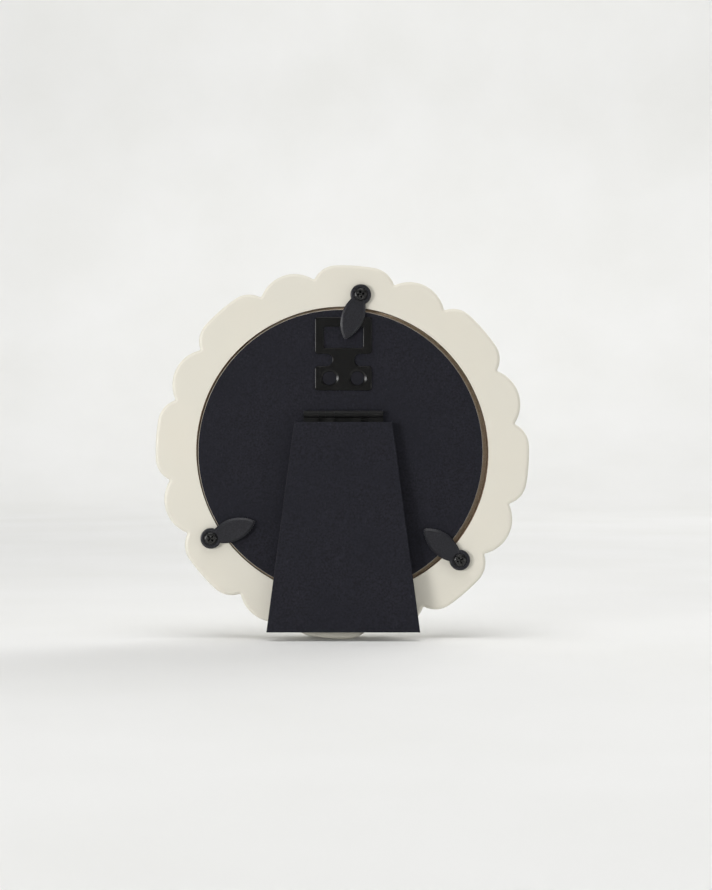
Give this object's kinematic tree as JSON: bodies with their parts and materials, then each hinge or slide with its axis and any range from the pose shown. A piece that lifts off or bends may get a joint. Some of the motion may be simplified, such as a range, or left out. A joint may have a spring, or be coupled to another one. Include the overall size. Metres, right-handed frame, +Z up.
{
  "type": "round photo frame",
  "caption": "Round scalloped photo frame with a folding easel stand on a knuckle hinge, a sheet hanger and leaf-shaped turn buttons that hold its backing board.",
  "frame": {"origin": "on the ground under the middle of the whole object's depth, below the ring's centre", "axes": "+Z up as the frame stands on its lowest lobe, +Y out of the back, so the picture side faces -Y"},
  "size_m": [0.1668, 0.0284, 0.1668],
  "materials": {
    "cream_painted_wood": "cream satin paint, raw brown inside the rebate",
    "clear_pane": "clear polished",
    "blank_paper": "plain uncoated sheet",
    "raw_board": "raw die-cut edge",
    "black_paper": "black fine-grained facing paper",
    "black_steel": "black satin enamel on sheet steel",
    "black_cast_button": "black sandy powder coat",
    "black_screw": "black zinc"
  },
  "bodies": {
    "frame": {"scalloped_frame": "cream_painted_wood", "glazing_disc": "clear_pane", "insert_sheet": "blank_paper", "backing_board": "raw_board", "backing_paper": "black_paper", "hanger_plate": "black_steel", "hanger_rivets": "black_steel", "hinge_board_leaf": "black_steel", "hinge_board_rivets": "black_steel", "hinge_pin": "black_steel", "turn_button_screws": "black_screw"},
    "stand": {"hinge_stand_leaf": "black_steel", "hinge_stand_rivets": "black_steel", "stand_liner_paper": "black_paper", "stand_core": "raw_board", "stand_face_paper": "black_paper"},
    "button_top": {"turn_button_top": "black_cast_button"},
    "button_left": {"turn_button_left": "black_cast_button"},
    "button_right": {"turn_button_right": "black_cast_button"}
  },
  "joints": [
    {"name": "stand_hinge", "type": "hinge", "parent": "frame", "child": "stand", "pos_m": [-0.0005, 0.00549, 0.1002], "axis": [1, 0, 0], "range_deg": [-3.5, 30.5]},
    {"name": "turn_top", "type": "hinge", "parent": "frame", "child": "button_top", "pos_m": [-0.00823, 0.00379, 0.15347], "axis": [0, 1, 0], "continuous": true},
    {"name": "turn_left", "type": "hinge", "parent": "frame", "child": "button_left", "pos_m": [0.05851, 0.00379, 0.04497], "axis": [0, 1, 0], "continuous": true},
    {"name": "turn_right", "type": "hinge", "parent": "frame", "child": "button_right", "pos_m": [-0.0523, 0.00379, 0.03531], "axis": [0, 1, 0], "continuous": true}
  ]
}
